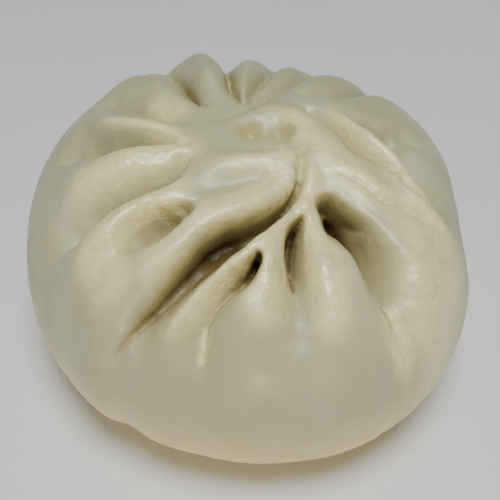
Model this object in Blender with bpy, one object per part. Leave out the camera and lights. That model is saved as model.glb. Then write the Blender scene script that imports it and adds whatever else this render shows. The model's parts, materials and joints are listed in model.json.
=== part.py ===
"""A steamed bun of pleated white dough, gathered into a twist near its top and resting on a flat foot.

The bun starts as a turned dome. Every pleat, slit and pocket is a valley pressed into the dome along a
path drawn on its plan, and every ridge and lobe is a swell raised along one. The path points, widths and
depths are in millimetres on the plan, with +X to the right and -Y to the front, where the slits open.
"""
import math
from typing import NamedTuple

import bmesh
import bpy
import numpy as np

MM = 0.001

# The whole bun
RADIUS = 53.0
HEIGHT = 58.0
BELLY_HEIGHT = 20.0
FOOT_RADIUS = 37.0
SHOULDER_FULLNESS = 2.63
TUCK_FULLNESS = 1.8
BELLY_SOFTENING = 4.0
# Slow waves of the outline as seen from above: turns, then the cosine and sine heights
OUTLINE_WAVES = ((2, -0.22, -0.94), (3, -0.31, 1.04), (4, -0.82, 0.33))

# How the pleats fade out down the side of the bun, by height
PLEATS_END_HEIGHT = 4.0
PLEATS_FULL_HEIGHT = 22.0
# Valleys that meet add up as a soft maximum of this sharpness
MEETING_SHARPNESS = 3.0
# A depth too small to lean anywhere
NO_DEPTH = 1e-9
OVERHANG_REACH = 5.0
FULL_OVERHANG_DEPTH = 8.0
# A swell has faded to nothing this many widths away
SWELL_REACH = 2.5

# Fineness of the turned dome, of the skin drawn over the pressed folds, and of the finished solid
TURN_STEPS = 400
SKIN_RINGS = 210
FOOT_RINGS = 12
SKIN_GRAIN = 0.8
SKIN_SOFTENING = 8
SOLID_SHARE = 0.064
# The dough below this height is cut away to leave the flat that the bun rests on
FOOT_TRIM = 0.5
PATH_STEPS = 32

DOUGH_COLOUR = (0.56, 0.53, 0.38, 1.0)
DOUGH_ROUGHNESS = 0.42


class Fold(NamedTuple):
    """A valley: left and right are its banks' widths, seen walking from the first path point on.

    A bank overhangs by a width, and the floor runs back under the dough (lean) by a share of the depth.
    """

    name: str
    path: tuple
    depth: tuple
    left: tuple
    right: tuple
    floor: tuple = (0.0, 0.0)
    crisp: tuple = (1.0, 1.0)
    overhang: tuple = (0.0, 0.0)
    lean: tuple = (0.0, 0.0)


class Swell(NamedTuple):
    """A ridge or lobe raised along a path; a negative rise presses the dough in."""

    name: str
    path: tuple
    rise: tuple
    width: tuple


# The open folds at the front, which meet under the twist
FRONT_FOLDS = (
    Fold("mouth",
         path=((10, -12), (9, -14.5), (6.5, -17.8), (4, -20.8), (0.9, -23.5), (-2.4, -25.9), (-5.8, -28.2),
               (-8.5, -30.7), (-11.3, -33), (-13.8, -35), (-19, -38.8), (-25, -41.7), (-29, -44)),
         depth=(4, 6.5, 8, 9.5, 11, 11.4, 10.4, 9, 7, 3, 0), left=(2, 2, 2, 2, 2, 2.2, 3, 4, 5.5, 7, 8),
         right=(1.8, 2.2, 2.6, 2.8, 3, 3.4, 4.6, 6, 7.5, 9, 10),
         floor=(0.6, 1.2, 2.8, 4.2, 5.6, 5.2, 3.6, 2.4, 1.4, 0.6, 0.4), crisp=(0.6, 1), overhang=(0, 1.8),
         lean=(0, 0.1, 0.15, 0.2, 0.25, 0.3, 0.25, 0.2, 0.1, 0, 0)),
    Fold("centre_slit",
         path=((11, -20.8), (9.5, -23.4), (8.6, -26.4), (8.5, -29.8), (9, -33.4), (9.5, -38)),
         depth=(4, 8, 9.5, 9.5, 8, 5, 1), left=(1, 1.8, 2.6, 3.2, 3.4, 3.4, 3),
         right=(0.8, 1, 1.2, 1.4, 2.2, 2.8, 3), floor=(0.3, 1.2, 1.5, 1.2, 0.8, 0.5, 0.4),
         crisp=(0.5, 1), lean=(0.4, 0.4, 0.3, 0.2, 0.1, 0, 0)),
    Fold("centre_valley",
         path=((9.4, -27), (9.6, -35), (9.5, -42), (9.3, -49)),
         depth=(1.5, 4, 3.6, 2, 0.4), left=(4, 5, 7, 8), right=(4, 6, 7, 8), crisp=(0, 0)),
    Fold("left_slit",
         path=((2.2, -31), (1, -33.6), (-0.6, -35.8), (-3, -37.5), (-5.6, -39.5), (-7.4, -42), (-8.2, -45),
               (-8.6, -49)),
         depth=(3, 5.5, 6, 5.5, 4.5, 3.8, 2.5, 0.5), left=(1, 1.2, 1.6, 3, 5, 6, 7, 8),
         right=(1.5, 3, 5, 5.5, 6, 7, 8, 8), floor=(0.4, 0.4), crisp=(1, 0.35), lean=(0.5, 0.3, 0.1, 0, 0)),
    Fold("left_slit_crack",
         path=((2.3, -30.8), (1.9, -32.2), (0.9, -34.1), (-0.6, -35.9), (-2.9, -37.3)),
         depth=(6, 10, 10, 8, 5), left=(0.9, 1, 1.2), right=(0.9, 1.1, 1.4),
         floor=(0.4, 1, 1.1, 0.7, 0.4), lean=(0.5, 0.3, 0.1)),
    Fold("right_pocket",
         path=((17.2, -15.6), (18.4, -17.8), (19.8, -21), (21.3, -25), (24, -31.2), (26.6, -35.8),
               (28.4, -38.6), (29.8, -42)),
         depth=(5, 11, 13, 12.5, 11, 9, 6.5, 3, 0.5), left=(0.8, 1.4, 2.6, 5, 7.5, 9, 8, 6.5, 5),
         right=(1, 1.4, 1.6, 1.8, 2.2, 3, 4, 5, 6), floor=(0.5, 1.5, 2.2, 1.8, 1, 0.6, 0.5, 0.4, 0.4),
         crisp=(0.2, 1), lean=(0.3, 0.35, 0.35, 0.3, 0.2, 0.1, 0, 0, 0)),
    Fold("pocket_roof",
         path=((17.2, -16.4), (19.4, -18.8), (22.2, -21.2), (25.4, -23.6)),
         depth=(8, 10, 7.5, 2), left=(1, 1.2, 1.5, 2), right=(4, 7, 8), floor=(0.8, 1.4, 1.4, 0.8),
         crisp=(1, 0), lean=(0.4, 0.4, 0.3)),
    Fold("front_seam",
         path=((28, -38), (28.5, -44), (28, -50)),
         depth=(0, 0.8, 0.8, 0), left=(2, 2), right=(2, 2)),
)

# The tongue of dough that closes the twist
TONGUE_FOLDS = (
    Fold("tongue_top",
         path=((11, -4), (8.5, -2.6), (5, -2.8), (1.7, -3.8), (-2.4, -4), (-6.6, -5)),
         depth=(2.5, 2.8, 2, 1.2, 0.6, 0), left=(3, 4, 5), right=(3, 3.5, 4), crisp=(0.2, 0.4)),
    Fold("tongue_tip",
         path=((11, -4.4), (11, -7.5), (10.4, -10.5), (9.6, -14)),
         depth=(1.5, 3, 3.4, 3.4), left=(2, 2.2), right=(1.6, 2), floor=(0.3, 0.4), crisp=(0.6, 0.8)),
    Fold("tongue_groove",
         path=((5.5, -12), (1.5, -12.5), (-2.5, -13.2), (-7, -15.2), (-10.2, -17.6)),
         depth=(0, 1.2, 1.5, 1, 0), left=(4, 4.5), right=(4, 4.5), crisp=(0, 0)),
)

# The softer pleats around the left, the back and the right
SIDE_FOLDS = (
    Fold("left_pocket",
         path=((-9.8, -18.8), (-12, -20.8), (-14.5, -22.8), (-17.5, -24.8), (-21, -26.2), (-26, -27.8)),
         depth=(1, 5, 7.5, 8, 6.5, 4, 0.5), left=(1.2, 1.6, 2, 2.2, 2.4, 3), right=(2, 4.5, 7, 8, 7, 4),
         floor=(0, 0.6, 1, 1, 0.6, 0), crisp=(1, 0.15), lean=(0.3, 0.3)),
    Fold("left_crease",
         path=((-12.6, -7.6), (-14.6, -10.8), (-17.6, -13), (-23, -14.4), (-30.4, -17.2), (-39, -22.4)),
         depth=(4, 7.5, 8, 7.5, 6.5, 4.5, 1), left=(1.8, 2.2, 3, 4.5, 6), right=(3, 5, 7, 8.5, 8),
         floor=(0.6, 0.4), crisp=(1, 0.5)),
    Fold("left_hollow",
         path=((-13.5, -2.4), (-18, -1.4), (-24.5, -0.6), (-31, 0), (-36, 2), (-44, 4)),
         depth=(2, 5, 6.6, 7, 6.4, 4.2, 0.5), left=(2.2, 2.8, 3.4, 4, 6), right=(2.5, 4, 6, 7.5, 7),
         floor=(0.3, 0.6, 0.6, 0.4), crisp=(1, 0.1)),
    Fold("upper_left_pleat",
         path=((-14, 6), (-16.5, 8), (-22, 12), (-28.7, 17.5), (-35, 25)),
         depth=(1.5, 4.5, 5, 4.5, 3.5, 1), left=(3, 3.5, 5, 6), right=(5, 7, 9, 10), crisp=(0.9, 0.9)),
    Fold("back_left_pleat",
         path=((-10.2, 13), (-12, 16.5), (-13.8, 21.5), (-16.2, 28), (-21, 39)),
         depth=(3, 6.5, 7, 7, 5, 2), left=(4, 6, 8, 9), right=(4, 6, 7), floor=(0.5, 1.2, 0.5, 0.3)),
    Fold("back_left_tuck",
         path=((-13, 20.5), (-18, 26), (-27, 35)),
         depth=(0.5, 3, 3, 1), left=(3, 4, 5), right=(3, 4, 5)),
    Fold("back_pleat",
         path=((-0.5, 14), (-2.6, 18), (-4, 23.5), (-4.8, 33), (-6, 46)),
         depth=(3, 6.5, 7.5, 7, 6, 2), left=(4, 6, 8), right=(3, 5, 6), floor=(0.3, 0.5, 0.3)),
    Fold("back_branch",
         path=((-0.8, 14.5), (1.6, 22), (4, 30), (8, 45)),
         depth=(3, 5.5, 5.5, 4, 1), left=(4, 5, 6), right=(4, 5, 7), floor=(0.3, 0.3)),
    Fold("arm_back",
         path=((-6.5, 5.5), (-2, 7.5), (3.4, 14.3), (8, 21), (13.6, 31.6), (17, 42)),
         depth=(0.5, 2, 2.5, 4, 5, 4.5, 1), left=(4, 5, 6), right=(5, 6, 7)),
    Fold("back_right_pleat",
         path=((12, 17.5), (17, 18.8), (21, 20.3), (27, 27), (34, 38)),
         depth=(1.5, 3.5, 4.5, 4.5, 2.5), left=(5, 7, 8), right=(5, 7, 8)),
    Fold("right_rim",
         path=((22.4, 8.8), (25, 5.6), (28.2, 2.4), (31.2, -1.4), (35, -6), (39.4, -9.8), (45.5, -15)),
         depth=(1, 5, 6.5, 5.5, 4.4, 3.6, 2.8, 1.8, 0.4), left=(4, 7, 8, 8, 9), right=(1.4, 1.6, 2, 2.4),
         floor=(0.4, 0.5), crisp=(0.1, 1)),
    Fold("arm_crease",
         path=((10, 10), (13.5, 9.2), (17, 6), (20, 1.8), (22.5, -2.2), (27.5, -5.6), (34.5, -10.6),
               (45.5, -17)),
         depth=(0.5, 4, 6, 6, 5.4, 4.6, 3.4, 2, 0.5), left=(3, 4, 4, 3.5), right=(1.6, 1.6, 1.8, 2),
         floor=(0.4, 0.4), crisp=(0.3, 1)),
    Fold("low_arm_crease",
         path=((18, -9.8), (23.5, -12.7), (27, -14.8), (32, -15.5), (40, -17.5)),
         depth=(0.5, 2, 2.4, 2, 0.5), left=(2.5, 3), right=(3, 4), floor=(0.3, 0.3)),
)

SWELLS = (
    Swell("knuckle", ((-6.5, 17), (-8.5, 22), (-10, 30), (-12, 40)), (0.5, 2.5, 3, 3), (4.5, 5.5, 6)),
    Swell("small_back_lobe", ((-0.5, 22), (0, 30), (1, 38)), (0.5, 1.5, 1), (3, 4)),
    Swell("upper_left_lobe", ((-14, 13), (-20, 21), (-27, 30)), (0.5, 2, 1.5), (6, 8)),
    Swell("rim_lobe", ((-15.5, 1.4), (-19, 3.2), (-23.5, 5.2), (-29.5, 7.6), (-34, 11)), (0.6, 2, 2.4, 1.4),
          (2, 2.6, 3)),
    Swell("left_lobe", ((-15.5, -4), (-24, -6), (-34, -8)), (1.6, 3, 2), (3.6, 5.5)),
    Swell("front_left_lobe", ((-14.5, -15.5), (-19, -18), (-24, -20.5), (-33, -26)),
          (1, 1.8, 2.4, 1.4), (2.4, 4)),
    Swell("low_left_lobe", ((-14, -28.5), (-20, -32.5), (-28, -36.5)), (1, 1.8, 1.2), (5, 7)),
    Swell("front_right_lobe", ((36, -26), (42, -20)), (1.6, 1.2), (9, 10)),
    Swell("right_bowl", ((28, 6.6), (31.5, 5.6), (35, 7.4)), (-2.6, -4.6, -2.4), (3, 3.4, 3.2)),
    Swell("right_dent", ((50, -4), (50, 4)), (-1.3, -1.3), (9, 9)),
    Swell("left_pit", ((-36, 10), (-36.5, 10.5)), (-1.5, -1.5), (2, 2)),
    Swell("tongue", ((-12, -8), (-6.5, -9.5), (0.5, -9), (8.1, -7.6)), (0.5, 1.8, 2.4, 2.3), (4.6, 4)),
    Swell("tongue_roll", ((8, -12.8), (3, -16.3), (-1.4, -18.8), (-6.2, -20.8), (-10.2, -22.8), (-14, -28)),
          (1.5, 2.2, 2.2, 2, 1.5, 0.8), (2.6, 3.2)),
    Swell("arm", ((-4.8, 2.9), (1.6, 6.6), (8.1, 7.5), (13.5, 0.6), (17.4, -7.1), (23.6, -13.1), (28, -17)),
          (0.8, 1.8, 2, 1.8, 1.6, 1.6, 0.8), (4, 3.8)),
    Swell("right_ridge", ((20.6, 6.3), (24.8, 1.2), (28.7, -3.4), (32.5, -8.1), (38.9, -15.2)),
          (1.2, 2.4, 2.4, 2, 0.6), (2.8, 3.2)),
    Swell("stem", ((12.6, -7), (12.6, -13), (11.8, -18.5)), (0.5, 1.2, 1), (2, 2.4)),
    Swell("stem_left", ((10, -18.9), (7.3, -22), (4.3, -25.6), (0.5, -29.4), (-4.1, -33.2), (-8.7, -37)),
          (1.5, 3, 3, 2.4, 1.6, 0.8), (2.4, 3.6)),
    Swell("stem_middle", ((8.7, -22), (7.3, -25.3), (5.4, -29.3), (3.9, -33.8), (2, -38.3)),
          (1, 2, 2.2, 1.8, 1), (2.2, 4.5)),
    Swell("stem_right", ((12.2, -19), (13, -24), (14, -29), (15, -35)), (1, 2, 2, 1), (2.2, 4)),
    Swell("gather", ((10, -23), (10, -24)), (-4.5, -4.5), (10, 10)),
    Swell("twist_dimple", ((-0.2, 2.3), (0.8, 1.9)), (-2.4, -2.4), (1.9, 1.9)),
    Swell("side_dimple", ((6.8, 1.2), (7.6, 1)), (-1.4, -1.4), (1.8, 1.8)),
    Swell("crumple", ((2, 1), (5.5, 1.2)), (-0.8, -0.8), (3.2, 3.2)),
)


def clear_scene():
    for old in list(bpy.data.objects):
        bpy.data.objects.remove(old)


def ease(share):
    """A smooth step from 0 to 1."""
    share = np.clip(share, 0, 1)
    return share * share * (3 - 2 * share)


def along(values, share):
    """A smooth run through evenly spaced values, read at a share of the way."""
    values = np.array(values, float)
    place = share * (len(values) - 1)
    first = np.clip(place.astype(int), 0, len(values) - 2)
    step = ease(place - first)
    return values[first] * (1 - step) + values[first + 1] * step


def even_points(line, count):
    """The same line with its points evenly spaced."""
    steps = np.linalg.norm(np.diff(line, axis=0), axis=1)
    run = np.concatenate([[0], np.cumsum(steps)])
    places = np.linspace(0, run[-1], count)
    return np.stack([np.interp(places, run, axis) for axis in line.T], 1)


def curve_through(points):
    """A smooth line on the plan through the path's points (a Catmull-Rom curve)."""
    points = np.array(points, float)
    ends = 2 * points[[0, -1]] - points[[1, -2]]
    points = np.vstack([ends[0], points, ends[1]])
    share = np.linspace(0, 1, PATH_STEPS // 2, endpoint=False)[:, None]
    pieces = []
    for a, b, c, d in zip(points, points[1:], points[2:], points[3:]):
        cubic = (3 * b - a - 3 * c + d) * share ** 3
        square = (2 * a - 5 * b + 4 * c - d) * share ** 2
        pieces.append(0.5 * (2 * b + (c - a) * share + square + cubic))
    pieces.append(points[-2][None])
    return even_points(np.vstack(pieces), PATH_STEPS)


def nearest_on(line, plan):
    """For each plan point: distance, share along the line, leftness from 0 to 1, and the way to the line."""
    start = line[:-1]
    step = np.diff(line, axis=0)
    offset = plan[:, None] - start
    share = np.clip((offset * step).sum(-1) / (step * step).sum(-1), 0, 1)
    offset = offset - share[..., None] * step
    distance = np.linalg.norm(offset, axis=-1)
    nearest = distance.argmin(1)
    rows = np.arange(len(plan))
    distance = np.maximum(distance[rows, nearest], 1e-9)
    offset = offset[rows, nearest]
    step = step[nearest]
    turn = step[:, 0] * offset[:, 1] - step[:, 1] * offset[:, 0]
    leftness = 0.5 + 0.5 * turn / (distance * np.linalg.norm(step, axis=1))
    share = (nearest + share[rows, nearest]) / len(start)
    return distance, share, np.clip(leftness, 0, 1), -offset / distance[:, None]


def dome_outline():
    """Radius and height of the dome from its top, round the belly and to the middle of its foot."""
    turn = np.linspace(0, math.pi / 2, 400)
    top = np.stack([np.sin(turn) ** (2 / SHOULDER_FULLNESS) * RADIUS,
                    BELLY_HEIGHT + (HEIGHT - BELLY_HEIGHT) * np.cos(turn) ** (2 / SHOULDER_FULLNESS)], 1)
    full_tuck = (1 - (FOOT_RADIUS / RADIUS) ** TUCK_FULLNESS) ** (1 / TUCK_FULLNESS)
    drop = np.linspace(0, 1, 200)
    side = np.stack([RADIUS * (1 - (drop * full_tuck) ** TUCK_FULLNESS) ** (1 / TUCK_FULLNESS),
                     BELLY_HEIGHT * (1 - drop)], 1)
    foot = np.array([[FOOT_RADIUS, 0.0], [0.0, 0.0]])
    skin = even_points(np.vstack([top, side[1:]]), SKIN_RINGS)
    spacing = np.linalg.norm(skin[1] - skin[0])
    steps = np.arange(SKIN_RINGS) - np.arange(SKIN_RINGS)[:, None]
    weight = np.exp(-(steps * spacing / BELLY_SOFTENING) ** 2)
    soft = weight @ skin / weight.sum(1, keepdims=True)
    nearness = np.exp(-((skin[:, 1:] - BELLY_HEIGHT) / (2 * BELLY_SOFTENING)) ** 2)
    skin += (soft - skin) * nearness
    return np.vstack([skin, even_points(foot, FOOT_RINGS)[1:]])


def turned_dome():
    """A closed dome turned about the upright axis, in millimetres."""
    mesh = bpy.data.meshes.new("bun")
    shape = bmesh.new()
    outline = [shape.verts.new((radius, 0, height)) for radius, height in dome_outline()]
    edges = [shape.edges.new(pair) for pair in zip(outline, outline[1:])]
    bmesh.ops.spin(shape, geom=outline + edges, axis=(0, 0, 1), cent=(0, 0, 0),
                   angle=2 * math.pi, steps=TURN_STEPS, use_merge=True)
    bmesh.ops.remove_doubles(shape, verts=shape.verts, dist=1e-4)
    bmesh.ops.recalc_face_normals(shape, faces=shape.faces)
    shape.to_mesh(mesh)
    shape.free()
    return mesh


def wave_outline(points):
    """Moves the round outline in and out by the slow waves."""
    bearing = np.arctan2(points[:, 1], points[:, 0])
    growth = np.zeros(len(points))
    for turns, cosine, sine in OUTLINE_WAVES:
        growth += (cosine * np.cos(turns * bearing) + sine * np.sin(turns * bearing)) / RADIUS
    points[:, :2] *= 1 + growth[:, None]


def bank_profile(fold, distance, share, leftness):
    """The share of a fold's depth that a point keeps, 1 on the floor and 0 past the bank."""
    width = along(fold.left, share) * leftness + along(fold.right, share) * (1 - leftness)
    crisp = fold.crisp[0] * leftness + fold.crisp[1] * (1 - leftness)
    up_bank = np.clip((distance - along(fold.floor, share) / 2) / width, 0, 1)
    round_shoulder = 1 - np.sqrt(1 - (1 - up_bank) ** 2)
    soft_bowl = 1 - ease(up_bank)
    return crisp * round_shoulder + (1 - crisp) * soft_bowl


def press_fold(fold, plan, sunk, lean, shift):
    """Adds one fold's depth, its lean and its banks' overhang to the points near it."""
    line = curve_through(fold.path)
    reach = max(fold.left + fold.right) + max(fold.floor) + OVERHANG_REACH
    near = np.flatnonzero(((plan > line.min(0) - reach) & (plan < line.max(0) + reach)).all(1))
    distance, share, leftness, inward = nearest_on(line, plan[near])
    depth = along(fold.depth, share)
    profile = bank_profile(fold, distance, share, leftness)
    pressed = (depth * profile) ** MEETING_SHARPNESS
    sunk[near] += pressed
    lean[near] += pressed * along(fold.lean, share)
    past_floor = np.maximum(distance - along(fold.floor, share) / 2, 0)
    overhang = fold.overhang[0] * leftness + fold.overhang[1] * (1 - leftness)
    overhang *= (1 - profile) * np.exp(-(past_floor / OVERHANG_REACH) ** 2)
    overhang *= np.clip(depth / FULL_OVERHANG_DEPTH, 0, 1)
    shift[near] += inward * overhang[:, None]


def raise_swell(swell, plan, rise):
    """Adds one swell's height to the points near it."""
    line = curve_through(swell.path)
    reach = SWELL_REACH * max(swell.width)
    near = np.flatnonzero(((plan > line.min(0) - reach) & (plan < line.max(0) + reach)).all(1))
    distance, share, _, _ = nearest_on(line, plan[near])
    rise[near] += along(swell.rise, share) * np.exp(-(distance / along(swell.width, share)) ** 2)


def shape_dough(mesh):
    """Presses the folds into the dome and raises the lobes, then scales it to metres."""
    count = len(mesh.vertices)
    points = np.empty(count * 3)
    mesh.vertices.foreach_get("co", points)
    points = points.reshape(-1, 3)
    wave_outline(points)
    mesh.vertices.foreach_set("co", points.ravel())
    mesh.update()
    outward = np.empty(count * 3)
    mesh.vertex_normals.foreach_get("vector", outward)
    outward = outward.reshape(-1, 3)

    plan = points[:, :2].copy()
    sunk = np.zeros(count)
    lean = np.zeros(count)
    shift = np.zeros((count, 2))
    rise = np.zeros(count)
    for fold in FRONT_FOLDS + TONGUE_FOLDS + SIDE_FOLDS:
        press_fold(fold, plan, sunk, lean, shift)
    for swell in SWELLS:
        raise_swell(swell, plan, rise)
    upper = ease((points[:, 2] - PLEATS_END_HEIGHT) / (PLEATS_FULL_HEIGHT - PLEATS_END_HEIGHT))
    lean /= np.maximum(sunk, NO_DEPTH)
    sunk = sunk ** (1 / MEETING_SHARPNESS)
    shift[:, 1] += lean * sunk
    points += outward * ((rise - sunk) * upper)[:, None]
    points[:, :2] += shift * upper[:, None]
    mesh.vertices.foreach_set("co", (points * MM).ravel())
    mesh.update()


def dough_material():
    material = bpy.data.materials.new("steamed_dough")
    material.use_nodes = True
    surface = material.node_tree.nodes["Principled BSDF"]
    surface.inputs["Base Color"].default_value = DOUGH_COLOUR
    surface.inputs["Roughness"].default_value = DOUGH_ROUGHNESS
    surface.inputs["Metallic"].default_value = 0.0
    return material


def foot_cutter():
    """The block whose top is the plane that the bun rests on."""
    block_height = 20 * MM
    bpy.ops.mesh.primitive_cube_add(size=1)
    cutter = bpy.context.object
    cutter.name = "foot_cutter"
    cutter.dimensions = (4 * RADIUS * MM, 4 * RADIUS * MM, block_height)
    cutter.location.z = FOOT_TRIM * MM - block_height / 2
    cutter.hide_render = True
    cutter.display_type = "WIRE"
    return cutter


def draw_skin(bun, cutter):
    """One even skin over the pressed folds, softened, thinned to the finished solid and cut flat."""
    skin = bun.modifiers.new("skin", "REMESH")
    skin.mode = "VOXEL"
    skin.voxel_size = SKIN_GRAIN * MM
    soften = bun.modifiers.new("soften", "SMOOTH")
    soften.factor = 0.5
    soften.iterations = SKIN_SOFTENING
    thin = bun.modifiers.new("thin", "DECIMATE")
    thin.ratio = SOLID_SHARE
    foot = bun.modifiers.new("flat_foot", "BOOLEAN")
    foot.operation = "DIFFERENCE"
    foot.object = cutter


def stand_at_origin(bun):
    """Moves the bun so that the middle of its foot's box is the origin."""
    bpy.context.view_layer.update()
    shown = bun.evaluated_get(bpy.context.evaluated_depsgraph_get())
    corners = np.array([corner[:] for corner in shown.bound_box])
    low = corners.min(0)
    middle = (low + corners.max(0)) / 2
    return (-middle[0], -middle[1], -low[2])


def build():
    clear_scene()
    mesh = turned_dome()
    shape_dough(mesh)
    bun = bpy.data.objects.new("bun", mesh)
    bpy.context.collection.objects.link(bun)
    mesh.materials.append(dough_material())
    mesh.shade_smooth()
    cutter = foot_cutter()
    draw_skin(bun, cutter)
    move = stand_at_origin(bun)
    bun.location = move
    cutter.location = tuple(place + step for place, step in zip(cutter.location, move))


build()
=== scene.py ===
"""The looks of a steamed bun of pleated white dough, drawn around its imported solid.

The bun is pressed from a dome as its solid is, but finer, and gets its damp skin, its wrinkles and its
colours here. Sizes in the tables are in millimetres on the bun's plan, +X to the right and -Y to the
front.
"""
import json
import math
from typing import NamedTuple

import bpy
import numpy as np
from bpy.props import FloatProperty, FloatVectorProperty, IntProperty, PointerProperty
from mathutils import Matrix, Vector, kdtree, noise

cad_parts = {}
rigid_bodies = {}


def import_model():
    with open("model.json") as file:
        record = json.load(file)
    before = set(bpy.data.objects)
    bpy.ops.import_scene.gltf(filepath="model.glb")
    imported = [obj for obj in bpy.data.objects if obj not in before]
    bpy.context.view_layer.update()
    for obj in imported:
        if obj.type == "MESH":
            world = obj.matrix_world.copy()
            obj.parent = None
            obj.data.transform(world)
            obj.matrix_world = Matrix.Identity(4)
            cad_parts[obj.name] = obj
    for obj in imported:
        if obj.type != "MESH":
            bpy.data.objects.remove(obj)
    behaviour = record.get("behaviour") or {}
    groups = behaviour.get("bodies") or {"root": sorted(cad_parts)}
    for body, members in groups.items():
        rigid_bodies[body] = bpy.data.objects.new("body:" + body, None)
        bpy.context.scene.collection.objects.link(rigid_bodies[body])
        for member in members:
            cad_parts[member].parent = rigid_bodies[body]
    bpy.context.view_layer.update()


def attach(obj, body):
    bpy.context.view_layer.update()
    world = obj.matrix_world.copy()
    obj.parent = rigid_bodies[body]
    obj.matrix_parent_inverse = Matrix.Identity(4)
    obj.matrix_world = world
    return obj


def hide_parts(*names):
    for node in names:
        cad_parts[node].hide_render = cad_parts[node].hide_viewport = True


bl_info = {
    "name": "Pleated Steamed Bun",
    "version": (1, 0, 0),
    "blender": (4, 5, 0),
    "location": "3D View > Sidebar > Bun",
    "description": "Models and finishes a steamed bun of pleated dough around its packed solid",
    "category": "Object",
}

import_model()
NODE = "bun"
MM = 0.001
# Keeps a divisor clear of zero
TINY = 1e-9

# The dome before it is pleated
RADIUS = 53.0
HEIGHT = 58.0
BELLY_HEIGHT = 20.0
FOOT_RADIUS = 37.0
FOOT_TRIM = 0.5
SHOULDER_FULLNESS = 2.63
TUCK_FULLNESS = 1.8
BELLY_SOFTENING = 4.0
# The waves round the plan: how many, and their cosine and sine parts in millimetres
OUTLINE_WAVES = ((2, -0.22, -0.94), (3, -0.31, 1.04), (4, -0.82, 0.33))
# The share of the rings that the side and top take; the rest close the foot
SKIN_SHARE = 0.93
OUTLINE_STEPS = 400

# How pleats fade down the side, meet and overhang
PLEATS_END_HEIGHT = 4.0
PLEATS_FULL_HEIGHT = 22.0
MEETING_SHARPNESS = 3.0
OVERHANG_REACH = 5.0
FULL_OVERHANG_DEPTH = 8.0
SWELL_REACH = 2.5
PATH_STEPS = 32
SMOOTHING = 0.5

# The colour attribute that tells the material how deep in a fold, how damp and how stained the dough is
MASKS = "dough_masks"
# The depth that counts as fully deep, for the painted shade in the folds
DEEPEST_FOLD = 12.0

# A sharp crease gets a line of painted shade, like a fold of the shade's depth, times the crease's own
# share
CREASE_SHADE = 10.0
SHADED_CREASES = {"mouth": 0.9, "centre_slit": 1, "left_slit": 0.6, "left_slit_crack": 1,
                "right_pocket": 0.8, "tongue_tip": 0.4, "left_pocket": 0.5, "left_crease": 0.6,
                "left_hollow": 0.4, "arm_crease": 0.7}
CREASE_WIDTH = 0.5
# Folds shallower than the first depth have no crease of painted shade, and it is at its darkest this much
# deeper
UNCREASED_DEPTH = 1.0
CREASING_RANGE = 3.0

# The dough's slow bumps: their width and their share of the unevenness
BUMPS = ((14.0, 1.0), (5.0, 0.35), (1.8, 0.12))
# The fine wrinkles on damp dough: their width, the height of their ridges and the slope down from them
WRINKLES = ((2.2, 1.0, 2.2), (1.1, 0.5, 1.1))
LEAST_WRINKLED = 0.03
# Where each layer of noise starts, so that no two are alike
NOISE_STEP = (17.3, 5.7, 11.1)

# The skin's and the floor's fine patterns: the scale, detail and roughness of the noise
CLOUD = (55.0, 3.0, 0.55)
FILM_PATCH = (130.0, 3.0, 0.6)
STREAK = (260.0, 3.0, 0.6)
MOTTLE = (420.0, 4.0, 0.6)
CRINKLE = (700.0, 3.0, 0.6)
SPECK = (1500.0, 2.0, 0.6)
FLOOR_CLOUD = (9.0, 3.0, 0.5)
NOISE_MIDDLE = 0.5

# Where the colours show: a pattern or mask from low to high, and then the shares there if not 0 and 1
PALE_SPAN = (0.35, 0.68)
GREY_SPAN = (0.45, 0.75, 0.0, 0.35)
DAMP_OUTSIDE_FOLDS = (0.18, 0.5, 1.0, 0.0)
CREST_HIGHLIGHT_SPAN = (0.0, 0.75)
STREAK_SPAN = (0.3, 0.55, 0.65, 1.0)
# The painted shade in the folds, and darker still in the slits
FOLD_SHADE_SPAN = (0.12, 0.75)
DEEP_SHADE_SPAN = (0.6, 0.95)
STAIN_SPAN = (0.2, 0.6)
# The painted warm bounce light at the foot, by height in metres, and how far the clouds move its edge
BOUNCE_LIGHT_SPAN = (0.014, 0.039, 1.0, 0.0)
BOUNCE_LIGHT_RAGGEDNESS = 0.01
# How far the mottling moves the edge of a fold's painted shade, as a share of the deepest fold
FOLD_SHADE_RAGGEDNESS = 0.12
# How fully each colour covers the one below it
CREST_HIGHLIGHT_COVER = 0.85
BOUNCE_LIGHT_COVER = 0.95
FOLD_SHADE_COVER = 0.9
DEEP_SHADE_COVER = 0.95

# The water film: where it lies on dry skin, how the mottling breaks it and where folds end it
FILM_PATCH_SPAN = (0.4, 0.65, 0.1, 0.5)
FILM_BREAK_SPAN = (0.3, 0.6, 0.35, 1.0)
FILM_OUTSIDE_FOLDS = (0.1, 0.32, 1.0, 0.0)
FILM_ROUGHNESS = 0.36
FILM_IOR = 1.8
# The skin under the film: how far mottling makes it smoother and rougher, and how much a film smooths it
ROUGH_SPAN = (0.3, 0.7)
SMOOTHER = 0.05
ROUGHER = 0.07
FILM_SMOOTHING = 0.16
SKIN_SPECULAR = 0.42
UNDER_SKIN_RADIUS = (1.0, 0.72, 0.38)
UNDER_SKIN_SCALE = 0.0025
# The distance, in metres, and strength of each bump
MOTTLE_BUMP = (0.0007, 0.32)
SPECK_BUMP = (0.0002, 0.3)
CRINKLE_BUMP = (0.001, 0.6)
# The floor: its roughness, and how much darker its clouds are
FLOOR_ROUGHNESS = 0.6
FLOOR_SHADE = 0.94

# The lights' places and widths, in metres
OVERHEAD_PLACE = (0.03, -0.12, 0.60)
OVERHEAD_WIDTH = 0.25
LEFT_PLACE = (-0.50, -0.20, 0.30)
LEFT_WIDTH = 0.3
LEFT_SHARE = 0.06
LOW_PLACE = (0.0, -0.50, 0.08)
LOW_WIDTH = 0.15
LOW_COLOUR = (1.0, 0.83, 0.56)
ROOM_COLOUR = (0.90, 0.95, 1.0)

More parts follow.
